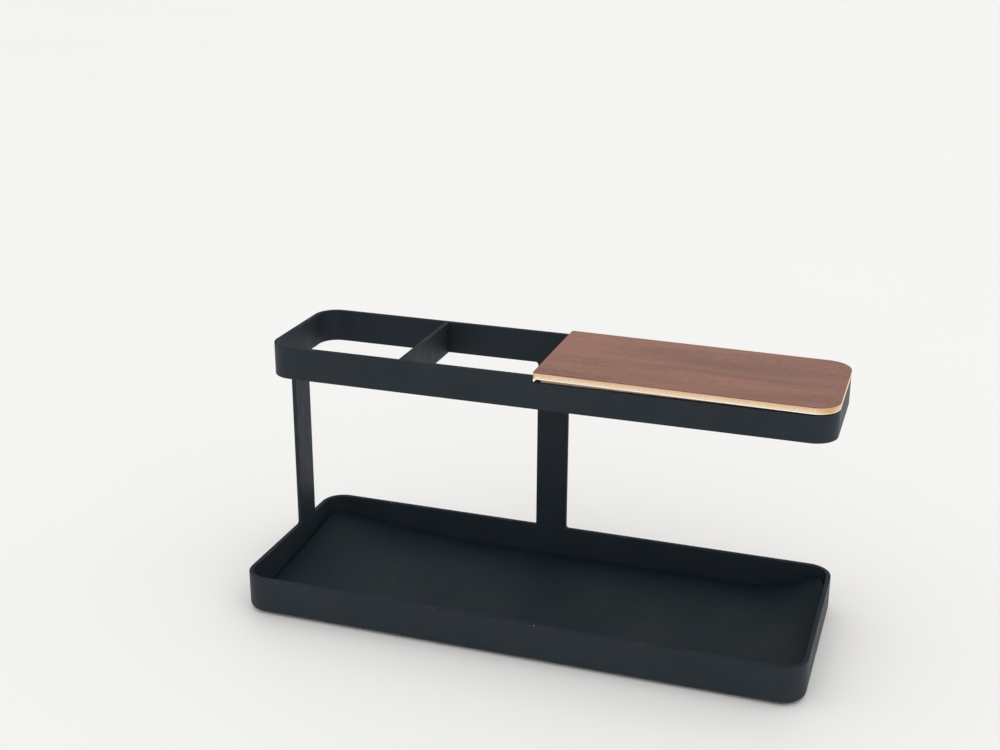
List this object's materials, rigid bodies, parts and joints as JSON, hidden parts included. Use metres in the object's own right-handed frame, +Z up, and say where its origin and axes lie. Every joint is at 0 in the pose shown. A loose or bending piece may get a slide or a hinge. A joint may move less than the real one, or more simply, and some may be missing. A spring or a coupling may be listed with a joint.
{
  "type": "desk hutch",
  "caption": "Long steel desk tray with two flat posts that carry a round-cornered ring shelf: open pen slots on the left and a lift-off wooden lid on the right.",
  "frame": {"origin": "centre of the footprint, on the surface that the hutch stands on", "axes": "+X along the length towards the lid end, +Y to the rear wall that carries the rear post, +Z up"},
  "size_m": [0.3023, 0.115, 0.141],
  "materials": {
    "powder_coat": "matte blue-black powder coat",
    "mat_sheet": "matte black soft sheet",
    "walnut_veneer": "open-pore walnut veneer, satin clear coat",
    "ply_long_grain": "pale birch ply, cut along the grain",
    "ply_cross_grain": "pale birch ply, end grain",
    "back_veneer": "pale birch back veneer",
    "board_wood": "plain pale board",
    "pad_foam": "thin black pad"
  },
  "bodies": {
    "frame": {"base_tray": "powder_coat", "left_post": "powder_coat", "rear_post": "powder_coat", "left_post_foot_weld": "powder_coat", "left_post_head_weld": "powder_coat", "rear_post_foot_weld": "powder_coat", "rear_post_head_weld": "powder_coat", "top_ring": "powder_coat", "ring_seam_weld": "powder_coat", "pen_divider": "powder_coat", "pen_divider_welds": "powder_coat", "lid_divider": "powder_coat", "lid_divider_welds": "powder_coat", "foot_pad_front_left": "pad_foam", "foot_pad_front_right": "pad_foam", "foot_pad_rear_left": "pad_foam", "foot_pad_rear_right": "pad_foam"},
    "lid": {"lid_face_veneer": "walnut_veneer", "lid_ply_upper": "ply_long_grain", "lid_ply_cross": "ply_cross_grain", "lid_ply_lower": "ply_long_grain", "lid_back_veneer": "back_veneer", "lid_locating_board": "board_wood"},
    "mat": {"tray_mat": "mat_sheet"}
  },
  "joints": [
    {"name": "lid_lift", "type": "slide", "parent": "frame", "child": "lid", "axis": [0, 0, 1], "range_m": [0, 0.06]},
    {"name": "mat_lift", "type": "slide", "parent": "frame", "child": "mat", "axis": [0, 0, 1], "range_m": [0, 0.09]}
  ]
}
